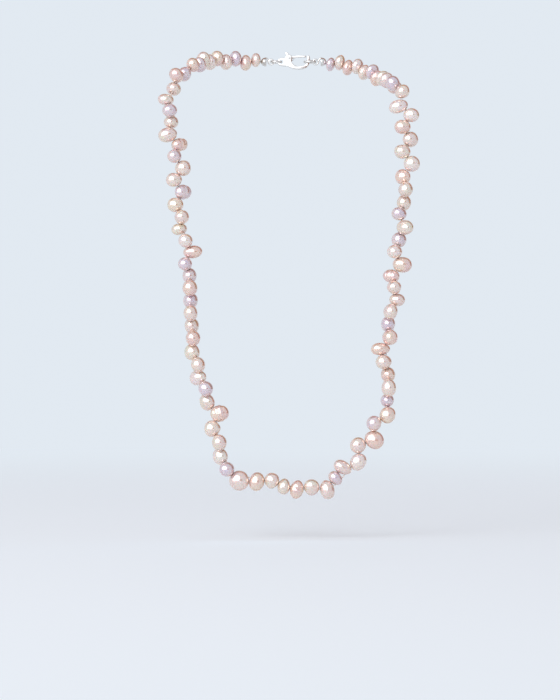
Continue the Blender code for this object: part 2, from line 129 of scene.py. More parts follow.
# One word per pearl, in order along the thread. The words are the CAD model's, but for the grooved pearl in
# the middle of the bottom, which is a plain long one there.
# Its letters up to the digit: the way the pearl leans off the thread (left, right, front, back, up, down),
# capital when the hole is near the pearl's end, small when it is near the middle.
# The digit: how much of the thread the pearl takes up. Then its form (oval, long, small, grooved, big) and
# its tone (peach, lavender, cream, white).
NAPE_LEFT_PEARLS = "u3sc d4op u4ol d4oc u4op d4ow u4oc d4ol".split()
LEFT_PEARLS = (
    "u5sp B5ol FL4op B5oc L4oc F4ol B4oc L5lc BR4gp FL4sl R5oc L4oc BR5gl L5op F5oc L4oc "
    "F5ow R4lp FL4sl B5ol F5op B5ol F5oc B5oc F5op LB6oc F5oc LB5lw F5ol BL6oc R6gp L6oc "
    "F6oc BL6ow FL5ol"
).split()
BOTTOM_PEARLS = "D7bc d6lp u5oc d4oc d5gp u6oc d6bc".split()
RIGHT_PEARLS = (
    "L5ol L5lc R6ow L5oc R6lp FL5ol R6op B4sl F6oc B5op FL5oc L4lp FR5op B5ol F5oc R4oc "
    "F4oc BL4gp R5lp FL4ow B5ol FR5lc FL4ol B5oc F5gc BL5op R5ow L4oc BR5oc L4op R4ow L4lw "
    "FR4oc F5ol B4op u4ol"
).split()
NAPE_RIGHT_PEARLS = "u4oc d4op u4ol d4oc u4ow d4op u4oc d3sl".split()
RUNS = (
    (NAPE_LEFT_ROUTE, NAPE_LEFT_PEARLS),
    (LEFT_ROUTE, LEFT_PEARLS),
    (BOTTOM_ROUTE, BOTTOM_PEARLS),
    (RIGHT_ROUTE, RIGHT_PEARLS),
    (NAPE_RIGHT_ROUTE, NAPE_RIGHT_PEARLS),
)

# The thread taken up by a pearl: a base length and a step for each digit.
PITCH_BASE = 2.0
PITCH_STEP = 0.5

# Half length, half width and taper of each form. The taper makes the end that leans out the fat one.
FORMS = {
    "o": (2.80, 2.52, 0.06),
    "l": (3.35, 2.45, 0.04),
    "s": (2.50, 2.32, 0.03),
    "g": (3.20, 2.50, 0.02),
    "b": (3.45, 2.80, 0.05),
}
# How far off the pearl's middle the hole is, as a share of its half length.
STRONG_LEAN = 0.58
SLIGHT_LEAN = 0.22
WAYS = {
    "l": (-1.0, 0.0, 0.0),
    "r": (1.0, 0.0, 0.0),
    "f": (0.0, -1.0, 0.0),
    "b": (0.0, 1.0, 0.0),
    "u": (0.0, 0.0, 1.0),
    "d": (0.0, 0.0, -1.0),
}
TONES = {"p": "peach", "l": "lavender", "c": "cream", "w": "white"}

HOLE_RADIUS = 0.36
# The small break at each end of a bore.
RIM_BREAK = 0.05
RIM_DEPTH = 0.08

FRONT_GROUP = 2
NAPE_GROUP = 4
# The bands of the front drop hinge under these pearls, counted from the top of each side. The thread is
# broken there.
BAND_ENDS = {"upper": 4, "middle": 16, "lower": 26}
THREAD_BREAK = 0.32

# The pearls' surface: sides round the hole and rings from hole to hole, then the same for the rough
# surfaces that the gaps are measured on, and the first ring's angle from a pole.
PEARL_SIDES = 44
PEARL_RINGS = 31
ROUGH_SIDES = 28
ROUGH_RINGS = 21
FIRST_LATITUDE = math.radians(13.0)
# How far a pearl's skin has dipped at its hole, as a share of that angle.
HOLE_DIP = 0.8

# The least gap between neighbours: in one group they touch, and two groups keep room to turn and to fold.
# The search for each gap starts from FIRST_GAP.
TOUCH = 0.01
TURNING_ROOM = 0.03
SWING = math.radians(10.0)
FOLD = math.radians(20.0)
FIRST_GAP = 0.2
GAP_ROUNDS = 10
# No clearance is measured past FAR_APART. A point looks for the other surface this much further off than
# the least clearance so far, so that one inside it is found too.
FAR_APART = 10.0
LOOK_PAST = 1.0
# An outline runs on this many points past its join on both sides, so that it is smooth there.
LAP = 2


def unit(vector):
    return vector / np.linalg.norm(vector)


def across(vector, axis):
    """The part of a vector that is square to an axis, at length 1."""
    return unit(vector - axis * (vector @ axis))


def smooth_line(points, steps):
    """A smooth line through the points, with this many samples from each point to the next."""
    points = np.array(points)
    spans = np.linalg.norm(np.diff(points, axis=0), axis=1)
    knots = np.concatenate([[0.0], np.cumsum(spans)])
    slopes = np.gradient(points, knots, axis=0)
    samples = []
    for k, span in enumerate(spans):
        for t in np.arange(steps) / steps:
            start = (1 + 2 * t) * (1 - t) ** 2 * points[k] + t * (1 - t) ** 2 * span * slopes[k]
            end = t**2 * (3 - 2 * t) * points[k + 1] - t**2 * (1 - t) * span * slopes[k + 1]
            samples.append(start + end)
    samples.append(points[-1])
    return np.array(samples)


def smooth_loop(points, steps):
    """A closed outline through the points."""
    count = len(points)
    line = smooth_line([points[k % count] for k in range(-LAP, count + LAP + 1)], steps)
    return line[LAP * steps : (count + LAP) * steps]


# The strand


def read_pearl(word):
    """A pearl's lean, size, form and tone from its word."""
    digit = next(k for k, letter in enumerate(word) if letter.isdigit())
    lean, form, tone = word[:digit], word[digit + 1], word[digit + 2]
    half_length, half_width, taper = FORMS[form]
    return {
        "way": sum(np.array(WAYS[letter]) for letter in lean.lower()),
        "pitch": PITCH_BASE + PITCH_STEP * int(word[digit]),
        "length": half_length,
        "width": half_width,
        "taper": taper,
        "share": STRONG_LEAN if lean[0].isupper() else SLIGHT_LEAN,
        "form": form,
        "tone": TONES[tone],
    }


def strand_joints():
    """The points where one pearl ends and the next begins: each run's pearls share out its length."""
    line = smooth_line([point for route, _ in RUNS for point in route], ROUTE_STEPS)
    reach = np.concatenate([[0.0], np.cumsum(np.linalg.norm(np.diff(line, axis=0), axis=1))])
    marks, first = [0.0], 0
    for route, words in RUNS:
        first += len(route)
        low, high = marks[-1], reach[min(first * ROUTE_STEPS, len(reach) - 1)]
        shares = np.cumsum([read_pearl(word)["pitch"] for word in words])
        marks += list(low + (high - low) * shares / shares[-1])
    return np.stack([np.interp(marks, reach, line[:, k]) for k in range(3)], axis=1)


def pearl_groups():
    """Runs of pearl numbers that move as one body: fours behind the neck and pairs in front."""
    total = sum(len(words) for _, words in RUNS)
    before, after = len(NAPE_LEFT_PEARLS), len(NAPE_RIGHT_PEARLS)
    cuts = list(range(0, before, NAPE_GROUP))
    cuts += list(range(before, total - after, FRONT_GROUP))
    cuts += list(range(total - after, total + 1, NAPE_GROUP))
    return [range(low, high) for low, high in zip(cuts, cuts[1:])]


def band_joints():
    """For each band of the front drop, the numbers of the left and right joint that it hangs from."""
    total = sum(len(words) for _, words in RUNS)
    before, after = len(NAPE_LEFT_PEARLS), len(NAPE_RIGHT_PEARLS)
    return {name: (before + count, total - after - count) for name, count in BAND_ENDS.items()}


def group_name(number, groups):
    """Nape fours are named for their side, and front pairs by their count from the upper left."""
    nape = len(NAPE_LEFT_PEARLS) // NAPE_GROUP
    last = len(groups) - len(NAPE_RIGHT_PEARLS) // NAPE_GROUP
    if number < nape:
        return f"nape_pearls_left_{number + 1}"
    if number >= last:
        return f"nape_pearls_right_{len(groups) - number}"
    return f"pearl_pair_{number - nape + 1:02d}"


# The waves that swell a pearl's skin: how many there are, their least and most radians over a half length,
# and the most that a wave's height times its radians may be.
SWELLINGS = 9
SWELL_WAVES = (1.2, 7.0)
SWELLING = 0.05
# A flat side is this deep at most, and seldom faces along the thread.
FLAT_DEPTH = 0.05
FLAT_WAYS = np.array((1.0, 1.0, 0.3))
# A grooved form has two or three grooves, GROOVE_STEP half lengths apart. Some other pearls have a faint one.
GROOVE_COUNTS = (2, 4)
GROOVE_SHIFT = 0.2
GROOVE_STEP = 0.48
GROOVE_DEPTHS = (0.10, 0.15)
GROOVE_SPREADS = (0.09, 0.13)
FAINT_SHARE = 0.3
FAINT_PLACES = (-0.5, 0.6)
FAINT_DEPTHS = (0.012, 0.03)
FAINT_SPREAD = 0.09
# How sharply the swellings and grooves fade out towards a hole.
CALM_POWER = 1.5


def character(pearl, number):
    """What makes one pearl its own: low swellings, a flat side, and its grooves if it has any."""
    chance = np.random.default_rng(number)
    pearl["swell_ways"] = [unit(chance.normal(size=3)) for _ in range(SWELLINGS)]
    pearl["swell_waves"] = chance.uniform(*SWELL_WAVES, SWELLINGS)
    pearl["swell_sizes"] = chance.uniform(-SWELLING, SWELLING, SWELLINGS) / pearl["swell_waves"]
    pearl["swell_starts"] = chance.uniform(0.0, 2 * math.pi, SWELLINGS)
    pearl["flat_way"] = unit(chance.normal(size=3) * FLAT_WAYS)
    pearl["flat_size"] = chance.uniform(0.0, FLAT_DEPTH)
    pearl["grooves"] = []
    if pearl["form"] == "g":
        count = chance.integers(*GROOVE_COUNTS)
        middle = chance.uniform(-GROOVE_SHIFT, GROOVE_SHIFT)
        for k in range(count):
            place = middle + GROOVE_STEP * (k - (count - 1) / 2)
            pearl["grooves"].append((place, chance.uniform(*GROOVE_DEPTHS), chance.uniform(*GROOVE_SPREADS)))
    elif chance.uniform() < FAINT_SHARE:
        pearl["grooves"].append((chance.uniform(*FAINT_PLACES), chance.uniform(*FAINT_DEPTHS), FAINT_SPREAD))


def surface(pearl, sides, rings):
    """Rings of points on the pearl from hole to hole, in its own frame: X out of the strand, Z along it.

    The pearl is an egg, a little fatter where it leans out, with its middle off the thread. The rings'
    poles are bent back to the two holes, so that no ring crosses them.
    """
    tilt = math.asin(pearl["share"])
    latitude = np.linspace(FIRST_LATITUDE, math.pi - FIRST_LATITUDE, rings)[:, None]
    azimuth = (2 * math.pi * np.arange(sides) / sides)[None, :]
    height = -np.cos(latitude) * np.ones_like(azimuth)
    flat_x = np.sin(latitude) * np.cos(azimuth)
    y = np.sin(latitude) * np.sin(azimuth)
    bend = tilt * height
    x = flat_x * np.cos(bend) - height * np.sin(bend)
    z = flat_x * np.sin(bend) + height * np.cos(bend)
    ways = np.stack([x, y, z], axis=2)
    # Close to a hole the swellings fade out, so that neighbours meet where the thread says.
    calm = np.sin(latitude) ** CALM_POWER
    size = np.ones_like(x)
    for way, amount, waves, start in zip(
        pearl["swell_ways"], pearl["swell_sizes"], pearl["swell_waves"], pearl["swell_starts"]
    ):
        size = size + calm * amount * np.cos(waves * (ways @ way) + start)
    facing = np.clip(ways @ pearl["flat_way"], 0.0, 1.0)
    size = size - calm * pearl["flat_size"] * facing**3
    waist = np.ones_like(x)
    for place, depth, spread in pearl["grooves"]:
        waist = waist - calm * depth * np.exp(-(((x - place) / spread) ** 2))
    fatness = (1 + pearl["taper"] * x) * waist
    middle = pearl["length"] * pearl["share"]
    return np.stack(
        [
            middle + pearl["length"] * size * x,
            pearl["width"] * fatness * size * y,
            pearl["depth"] * fatness * size * z,
        ],
        axis=2,
    )


def fit(pearls, joints, gaps):
    """Give each pearl its place and depth for the gaps between the strand's pearls."""
    for k, pearl in enumerate(pearls):
        low = joints[k] + pearl["along"] * gaps[k] / 2
        high = joints[k + 1] - pearl["along"] * gaps[k + 1] / 2
        pearl["station"] = (low + high) / 2
        pearl["reach"] = np.linalg.norm(high - low) / 2
        hole_height = math.sqrt(1 - pearl["share"] ** 2) * (1 - pearl["taper"] * pearl["share"])
        pearl["depth"] = pearl["reach"] / (hole_height * math.cos(FIRST_LATITUDE * HOLE_DIP))


def axes(pearl):
    """The pearl's own X, Y and Z: out of the strand, across it and along it."""
    side = np.cross(pearl["along"], pearl["out"])
    return np.stack([pearl["out"], side, pearl["along"]])


def tree_of(points):
    """A search tree of the surface through rings of points."""
    rings, sides = points.shape[:2]
    faces = []
    for k in range(rings - 1):
        for j in range(sides):
            ahead = (j + 1) % sides
            row, following = k * sides, (k + 1) * sides
            faces.append((row + j, row + ahead, following + ahead, following + j))
    return BVHTree.FromPolygons([Vector(p) for p in points.reshape(-1, 3)], faces)


def turned_points(points, centre, axis, angle):
    """Points turned about a line."""
    turn = np.array(Matrix.Rotation(angle, 3, Vector(axis)))
    return (points - centre) @ turn.T + centre


def clearance(points, tree):
    """The least distance from the points to a surface, negative inside it."""
    least = FAR_APART
    for point in points:
        place, normal, _, distance = tree.find_nearest(Vector(point), least + LOOK_PAST)
        if place is None:
            continue
        inside = (Vector(point) - place).dot(normal) < 0
        least = min(least, -distance if inside else distance)
    return least


def turns_at(number, group, group_before, joints):
    """The ways in which the pearls after a joint turn about those before: lists of (centre, axis, angle)."""
    own = joints[group[0]], unit(joints[group[-1] + 1] - joints[group[0]])
    other = joints[group_before[0]], unit(joints[group_before[-1] + 1] - joints[group_before[0]])
    turns = [[(*own, sign * SWING)] for sign in (-1, 1)]
    turns += [[(*other, sign * SWING)] for sign in (-1, 1)]
    for low, high in band_joints().values():
        if number in (low, high):
            hinge = (joints[low] + joints[high]) / 2, unit(joints[high] - joints[low])
            turns += [[(*own, one * SWING), (*hinge, two * FOLD)] for one in (-1, 1) for two in (-1, 1)]
    return turns


def moved(points, steps, back):
    """Points after a list of turns, or with those turns undone."""
    for centre, axis, angle in reversed(steps) if back else steps:
        points = turned_points(points, centre, axis, -angle if back else angle)
    return points


def room_between(points, tree, points_before, tree_before, ways):
    """The least distance between a pearl and the one before it, over all the ways it turns about it."""
    least = clearance(points, tree_before)
    least = min(least, clearance(points_before, tree))
    for steps in ways:
        least = min(least, clearance(moved(points, steps, False), tree_before))
        least = min(least, clearance(moved(points_before, steps, True), tree))
    return least


def strand():
    """Every pearl's place and size, with neighbours moved along the thread until they just touch."""
    joints = strand_joints()
    pearls = [read_pearl(word) for _, words in RUNS for word in words]
    chords = [unit(step) for step in np.diff(joints, axis=0)]
    for number, (pearl, chord) in enumerate(zip(pearls, chords)):
        pearl["out"] = across(pearl["way"], chord)
        pearl["along"] = chord
        character(pearl, number)
    group_of = {k: group for group in pearl_groups() for k in group}
    gaps = np.full(len(pearls) + 1, FIRST_GAP)
    for _ in range(GAP_ROUNDS):
        fit(pearls, joints, gaps)
        placed = [surface(p, ROUGH_SIDES, ROUGH_RINGS) @ axes(p) + p["station"] for p in pearls]
        trees = [tree_of(points) for points in placed]
        points = [rings.reshape(-1, 3) for rings in placed]
        for k in range(1, len(pearls)):
            wanted, ways = TOUCH, []
            if group_of[k] is not group_of[k - 1]:
                wanted, ways = TURNING_ROOM, turns_at(k, group_of[k], group_of[k - 1], joints)
            room = room_between(points[k], trees[k], points[k - 1], trees[k - 1], ways)
            gaps[k] = max(TOUCH, gaps[k] - (room - wanted))
    fit(pearls, joints, gaps)
    return pearls, joints


# Materials


class Nodes:
    """A node tree, with one short call for a node and its inputs."""

    def __init__(self, tree):
        self.tree = tree

    def add(self, kind, inputs=None, **settings):
        made = self.tree.nodes.new(kind)
        for name, value in settings.items():
            setattr(made, name, value)
        for name, value in (inputs or {}).items():
            if isinstance(value, bpy.types.NodeSocket):
                self.tree.links.new(value, made.inputs[name])
            else:
                made.inputs[name].default_value = value
        return made

    def ramp(self, factor, stops):
        made = self.add("ShaderNodeValToRGB", {"Fac": factor})
        elements = made.color_ramp.elements
        while len(elements) < len(stops):
            elements.new(1.0)
        for element, (place, colour) in zip(elements, stops):
            element.position = place
            element.color = (*colour, 1.0)
        return made.outputs["Color"]

    def mix(self, factor, one, other, blend="MIX"):
        made = self.add("ShaderNodeMix", data_type="RGBA", blend_type=blend)
        sockets = (("Factor_Float", factor), ("A_Color", one), ("B_Color", other))
        for name, value in sockets:
            socket = next(s for s in made.inputs if s.identifier == name)
            if isinstance(value, bpy.types.NodeSocket):
                self.tree.links.new(value, socket)
            elif name == "Factor_Float":
                socket.default_value = value
            else:
                socket.default_value = (*value, 1.0)
        return next(s for s in made.outputs if s.identifier == "Result_Color")

    def grey(self, value):
        made = self.add("ShaderNodeCombineXYZ", {"X": value, "Y": value, "Z": value})
        return made.outputs["Vector"]

    def number(self, operation, *values):
        made = self.add("ShaderNodeMath", operation=operation)
        for socket, value in zip(made.inputs, values):
            if isinstance(value, bpy.types.NodeSocket):
                self.tree.links.new(value, socket)
            else:
                socket.default_value = value
        return made.outputs[0]

    def scaled(self, value, low, high, to_low=0.0, to_high=1.0):
        inputs = {"Value": value, "From Min": low, "From Max": high, "To Min": to_low, "To Max": to_high}
        made = self.add("ShaderNodeMapRange", inputs, interpolation_type="SMOOTHSTEP")
        return made.outputs["Result"]


def new_material(name):
    made = bpy.data.materials.new(name)
    made.use_nodes = True
    made.node_tree.nodes.clear()
    return made, Nodes(made.node_tree)


def finish_material(nodes, shader):
    nodes.add("ShaderNodeOutputMaterial", {"Surface": shader.outputs[0]})


# Each tone's body colour, and the two it drifts to: a blush and a greenish or rosy glow.
NACRE = {
    "peach": ((0.86, 0.76, 0.71), (0.82, 0.70, 0.73), (0.85, 0.83, 0.74)),
    "lavender": ((0.78, 0.77, 0.86), (0.73, 0.72, 0.86), (0.83, 0.80, 0.82)),
    "cream": ((0.86, 0.85, 0.81), (0.85, 0.80, 0.81), (0.82, 0.86, 0.78)),
    "white": ((0.89, 0.90, 0.90), (0.87, 0.86, 0.90), (0.86, 0.90, 0.86)),
}


def nacre(tone):
    """Nacre: a warm, slightly clouded, mirror-like body under a clear skin that deepens towards the rim."""
    body, blush, glow = NACRE[tone]
    made, nodes = new_material("nacre_" + tone)
    place = nodes.add("ShaderNodeTexCoord").outputs["Object"]
    # Each pearl reads its own stretch of the noise, so that no two are alike.
    own = nodes.number("MULTIPLY", nodes.add("ShaderNodeObjectInfo").outputs["Random"], 40.0)

    def noise(offset, scale, detail):
        inputs = {"Vector": place, "W": nodes.number("ADD", own, offset), "Scale": scale, "Detail": detail}
        return nodes.add("ShaderNodeTexNoise", inputs, noise_dimensions="4D").outputs["Fac"]

    clouds = noise(0.0, 230.0, 2.0)
    glows = noise(7.0, 170.0, 1.0)
    dimples = noise(13.0, 620.0, 1.0)
    grain = noise(19.0, 2600.0, 3.0)
    rings = {"Vector": place, "Scale": 420.0, "Distortion": 2.5, "Detail": 2.0, "Detail Scale": 1.5}
    growth = nodes.add("ShaderNodeTexWave", rings, wave_type="BANDS", bands_direction="X").outputs["Fac"]
    colour = nodes.mix(nodes.scaled(clouds, 0.36, 0.66), body, blush)
    colour = nodes.mix(nodes.scaled(glows, 0.46, 0.72), colour, glow)
    tint = nodes.scaled(grain, 0.3, 0.7, 0.94, 1.0)
    colour = nodes.mix(1.0, colour, nodes.grey(tint), "MULTIPLY")
    relief = nodes.number("MULTIPLY", growth, 0.25)
    relief = nodes.number("ADD", relief, nodes.number("MULTIPLY", dimples, 1.0))
    relief = nodes.number("ADD", relief, nodes.number("MULTIPLY", grain, 0.05))
    bump = nodes.add("ShaderNodeBump", {"Height": relief, "Strength": 0.30, "Distance": 0.00005})
    shader = nodes.add(
        "ShaderNodeBsdfPrincipled",
        {
            "Base Color": colour,
            "Roughness": nodes.scaled(clouds, 0.3, 0.7, 0.08, 0.15),
            "Normal": bump.outputs["Normal"],
            "Metallic": 0.6,
            "IOR": 1.6,
            "Subsurface Weight": 0.3,
            "Subsurface Radius": (1.0, 0.5, 0.35),
            "Subsurface Scale": 0.0012,
            "Coat Weight": 1.0,
            "Coat Roughness": 0.05,
            "Coat IOR": 1.5,
            "Coat Tint": (1.0, 0.86, 0.79, 1.0),
            "Sheen Weight": 0.08,
            "Sheen Roughness": 0.3,
            "Sheen Tint": (1.0, 0.72, 0.66, 1.0),
        },
    )
    finish_material(nodes, shader)
    return made


def silk():
    """Twisted silk, a pale peach to match the pearls, with its fibres' streaks."""
    made, nodes = new_material("silk")
    place = nodes.add("ShaderNodeTexCoord").outputs["Object"]
    fibres = nodes.add("ShaderNodeTexNoise", {"Vector": place, "Scale": 9000.0, "Detail": 3.0}).outputs["Fac"]
    colour = nodes.ramp(fibres, [(0.3, (0.78, 0.62, 0.52)), (0.7, (0.92, 0.80, 0.71))])
    bump = nodes.add("ShaderNodeBump", {"Height": fibres, "Strength": 0.5, "Distance": 0.00002})
    shader = nodes.add(
        "ShaderNodeBsdfPrincipled",
        {
            "Base Color": colour,
            "Roughness": 0.62,
            "Normal": bump.outputs["Normal"],
            "Sheen Weight": 0.4,
            "Sheen Roughness": 0.4,
        },
    )
    finish_material(nodes, shader)
    return made


def metal(name, light, dark, low, high, scratches):
    """Polished or drawn metal with faint handling marks."""
    made, nodes = new_material(name)
    place = nodes.add("ShaderNodeTexCoord").outputs["Object"]
    stretch = nodes.add("ShaderNodeMapping", {"Vector": place, "Scale": (1.0, 6.0, 6.0)})
    fine = nodes.add(
        "ShaderNodeTexNoise",
        {"Vector": stretch.outputs["Vector"], "Scale": scratches, "Detail": 5.0, "Roughness": 0.65},
    ).outputs["Fac"]
    tarnish = nodes.add("ShaderNodeTexNoise", {"Vector": place, "Scale": 500.0, "Detail": 2.0}).outputs["Fac"]
    colour = nodes.mix(nodes.scaled(tarnish, 0.45, 0.72), light, dark)
    bump = nodes.add("ShaderNodeBump", {"Height": fine, "Strength": 0.12, "Distance": 0.00002})
    shader = nodes.add(
        "ShaderNodeBsdfPrincipled",
        {
            "Base Color": colour,
            "Metallic": 1.0,
            "Roughness": nodes.scaled(fine, 0.3, 0.7, low, high),
            "Normal": bump.outputs["Normal"],
        },
    )
    finish_material(nodes, shader)
    return made


# Pieces

# The angles in degrees past which an edge stays sharp.
ROUND_CREASE = 50
THREAD_CREASE = 60
PLATE_CREASE = 35
CUT_CREASE = 38
FLOOR_CREASE = 30
# Sides round a wire, and round a pin.
WIRE_SIDES = 14
SPRING_SIDES = 10
KNOT_SIDES = 8
PLY_SIDES = 6
PIN_SIDES = 40
RIVET_SIDES = 28


def new_mesh(name, build, sharp):
    """The bmesh as a smooth-shaded mesh, with its faces turned outwards and creases past an angle."""
    mesh = bpy.data.meshes.new(name)
    bmesh.ops.recalc_face_normals(build, faces=build.faces)
    build.to_mesh(mesh)
    build.free()
    mesh.shade_smooth()
    mesh.set_sharp_from_angle(angle=math.radians(sharp))
    return mesh


def new_piece(name, mesh, made, nodes, place=None):
    """A piece of the necklace that stands for CAD nodes."""
    piece = bpy.data.objects.new(name, mesh)
    piece.matrix_world = place or Matrix.Identity(4)
    mesh.materials.clear()
    mesh.materials.append(made)
    bpy.context.scene.collection.objects.link(piece)
    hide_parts(*nodes)
    return piece


def loft(build, rings, closed):
    """Quads between neighbouring rings, and from the last to the first if the loft is closed."""
    rows = [[build.verts.new(Vector(point) * MM) for point in ring] for ring in rings]
    pairs = list(zip(rows, rows[1:]))
    if closed:
        pairs.append((rows[-1], rows[0]))
    for row, following in pairs:
        for j in range(len(row)):
            ahead = (j + 1) % len(row)
            build.faces.new((row[j], row[ahead], following[ahead], following[j]))
    return rows


def bore_ring(rim, radius, shift):
    """A ring round the thread that lies in the plane of the pearl's rim, then shifted along the thread."""
    turns = 2 * math.pi * np.arange(len(rim)) / len(rim)
    round_thread = np.stack([radius * np.cos(turns), radius * np.sin(turns), np.ones_like(turns)], axis=1)
    flat_rim = np.column_stack([rim[:, :2], np.ones(len(rim))])
    plane = np.linalg.lstsq(flat_rim, rim[:, 2], rcond=None)[0]
    return np.column_stack([round_thread[:, :2], round_thread @ plane + shift])


def pearl_mesh(name, pearl):
    """A drilled pearl: its outside from hole to hole, a small break at each rim, and the bore."""
    rings = list(surface(pearl, PEARL_SIDES, PEARL_RINGS))
    first, last = rings[0], rings[-1]
    bore = [bore_ring(last, HOLE_RADIUS + RIM_BREAK, 0.0), bore_ring(last, HOLE_RADIUS, -RIM_DEPTH)]
    bore += [bore_ring(first, HOLE_RADIUS, RIM_DEPTH), bore_ring(first, HOLE_RADIUS + RIM_BREAK, 0.0)]
    build = bmesh.new()
    loft(build, rings + bore, True)
    return new_mesh(name, build, ROUND_CREASE)


def add_pearls(pearls, made):
    """Every pearl as a piece of its own, riding with its pair or its four."""
    groups = pearl_groups()
    for number, group in enumerate(groups):
        body = group_name(number, groups)
        for k in group:
            pearl = pearls[k]
            name = f"pearl_{k + 1:02d}"
            place = Matrix(axes(pearl).T).to_4x4()
            place.translation = Vector(pearl["station"]) * MM
            mesh = pearl_mesh(name, pearl)
            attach(new_piece(name, mesh, made[pearl["tone"]], [body], place), body)


# Where a wire sets out this near to Y or nearer, its first ring is turned by Z and not by Y.
MOSTLY_SIDEWAYS = 0.7


def swept(build, points, radius, sides, closed=False):
    """A round wire along the points, with flat ends unless it is closed. The radius may change along it."""
    points = np.array(points)
    count = len(points)
    radii = np.broadcast_to(radius, count)
    if closed:
        ways = np.roll(points, -1, axis=0) - np.roll(points, 1, axis=0)
    else:
        ways = np.gradient(points, axis=0)
    ways = ways / np.linalg.norm(ways, axis=1)[:, None]
    start = np.array((0.0, 1.0, 0.0)) if abs(ways[0][1]) < MOSTLY_SIDEWAYS else np.array((0.0, 0.0, 1.0))
    east = across(start, ways[0])
    turns = 2 * math.pi * np.arange(sides) / sides
    rings = []
    for point, way, size in zip(points, ways, radii):
        east = across(east, way)
        north = np.cross(way, east)
        rings.append([point + size * (math.cos(t) * east + math.sin(t) * north) for t in turns])
    rows = loft(build, rings, closed)
    if not closed:
        build.faces.new(rows[0])
        build.faces.new(rows[-1])


# The thread's plies, how far each lies off the thread's middle, and the length of one turn of their twist.
PLIES = 2
PLY_RADIUS = 0.105
PLY_ORBIT = 0.095
TWIST = 0.9
THREAD_STEP = 0.16
FEWEST_STEPS = 4
# The plies' twist is counted from this way off the thread, along which no length of thread sets out.
PLY_START = np.array((0.2, 1.0, 0.1))


def ply_lines(points):
    """The plies' centre lines, twisted round a line through the points."""
    points = np.array(points)
    reach = np.concatenate([[0.0], np.cumsum(np.linalg.norm(np.diff(points, axis=0), axis=1))])
    marks = np.linspace(0.0, reach[-1], max(FEWEST_STEPS, int(reach[-1] / THREAD_STEP)))
    line = np.stack([np.interp(marks, reach, points[:, k]) for k in range(3)], axis=1)
    ways = np.gradient(line, axis=0)
    ways = ways / np.linalg.norm(ways, axis=1)[:, None]
    east = across(PLY_START, ways[0])
    plies = [[] for _ in range(PLIES)]
    for mark, point, way in zip(marks, line, ways):
        east = across(east, way)
        north = np.cross(way, east)
        for number, ply in enumerate(plies):
            turn = 2 * math.pi * (mark / TWIST + number / PLIES)
            ply.append(point + PLY_ORBIT * (math.cos(turn) * east + math.sin(turn) * north))
    return plies


# The end knot: how far its centre line reaches out from the thread, its ply's radius, how far the line
# reaches along the thread either way in thirds of the first, and its points.
KNOT_SIZE = 0.62
KNOT_PLY = 0.2
KNOT_DEPTH = 1.1
KNOT_STEPS = 72


def knot_line(centre, size):
    """A tight overhand knot's centre line, a trefoil about X."""
    points = []
    for t in 2 * math.pi * np.arange(KNOT_STEPS) / KNOT_STEPS:
        y = math.sin(t) + 2 * math.sin(2 * t)
        z = math.cos(t) - 2 * math.cos(2 * t)
        points.append(centre + size / 3 * np.array((-KNOT_DEPTH * math.sin(3 * t), y, z)))
    return points


def add_thread(joints, made, clasp):
    """The thread in lengths that break where the front drop's bands hinge, with a knot at each end."""
    bands = band_joints()
    last = len(joints) - 1
    marks = [0] + [low for low, _ in bands.values()] + [high for _, high in reversed(bands.values())] + [last]
    names = ("nape_left", "upper_left", "middle_left", "lower", "middle_right", "upper_right", "nape_right")
    bodies = ("neck_strand", "front_upper", "front_middle", "front_lower")
    bodies = bodies + bodies[-2::-1]
    for name, body, low, high in zip(names, bodies, marks, marks[1:]):
        points = list(joints[low : high + 1])
        build = bmesh.new()
        if low == 0:
            knot = clasp["left_cup"]
            points.insert(0, knot)
            swept(build, knot_line(knot, KNOT_SIZE), KNOT_PLY, KNOT_SIDES, True)
        else:
            points[0] = points[0] + unit(points[1] - points[0]) * THREAD_BREAK / 2
        if high == last:
            knot = clasp["right_cup"]
            points.append(knot)
            swept(build, knot_line(knot, KNOT_SIZE), KNOT_PLY, KNOT_SIDES, True)
        else:
            points[-1] = points[-1] + unit(points[-2] - points[-1]) * THREAD_BREAK / 2
        for ply in ply_lines(points):
            swept(build, ply, PLY_RADIUS, PLY_SIDES)
        name = "thread_" + name
        mesh = new_mesh(name, build, THREAD_CREASE)
        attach(new_piece("silk_" + name, mesh, made, [name]), body)


# The clasp, in the XZ plane about its middle

CLAW_HALF = 0.7
CLAW_ROUND = 0.34
CLAW_ROUND_STEPS = 5
EYE = (-4.3, 0.0)
EYE_HOLE = 0.8
RIVET_RADIUS = 0.3
RIVET_PLAY = 0.05
RIVET_PROUD = 0.06
SLOT_LOW = (-3.2, -0.44, 0.2)
SLOT_HIGH = (0.6, 0.44, 4.0)
LEVER_HALF = 0.34
LEVER_ROUND = 0.16
LEVER_ROUND_STEPS = 4
CLAW_OUTLINE = [
    (-5.75, 0.0),
    (-5.3, -1.05),
    (-4.2, -1.45),
    (-2.6, -1.55),
    (0.0, -2.45),
    (2.6, -2.65),
    (4.8, -1.9),
    (5.8, -0.1),
    (5.85, 1.3),
    (5.45, 2.3),
    (4.95, 2.3),
    (4.85, 1.3),
    (4.75, 0.0),
    (4.0, -1.1),
    (2.4, -1.55),
    (0.4, -1.2),
    (-0.55, -0.2),
    (-0.5, 1.2),
    (-0.9, 2.35),
    (-2.1, 2.45),
    (-3.1, 1.5),
    (-4.3, 1.45),
    (-5.3, 1.05),
]
LEVER_OUTLINE = [
    (-2.1, 1.0),
    (-2.75, 2.5),
    (-2.95, 3.3),
    (-2.3, 3.45),
    (-1.6, 2.6),
    (-0.6, 2.15),
    (1.6, 2.35),
    (3.6, 2.3),
    (4.5, 2.1),
    (4.5, 1.75),
    (3.6, 1.64),
    (1.6, 1.52),
    (-0.4, 1.1),
    (-1.3, 0.68),
]
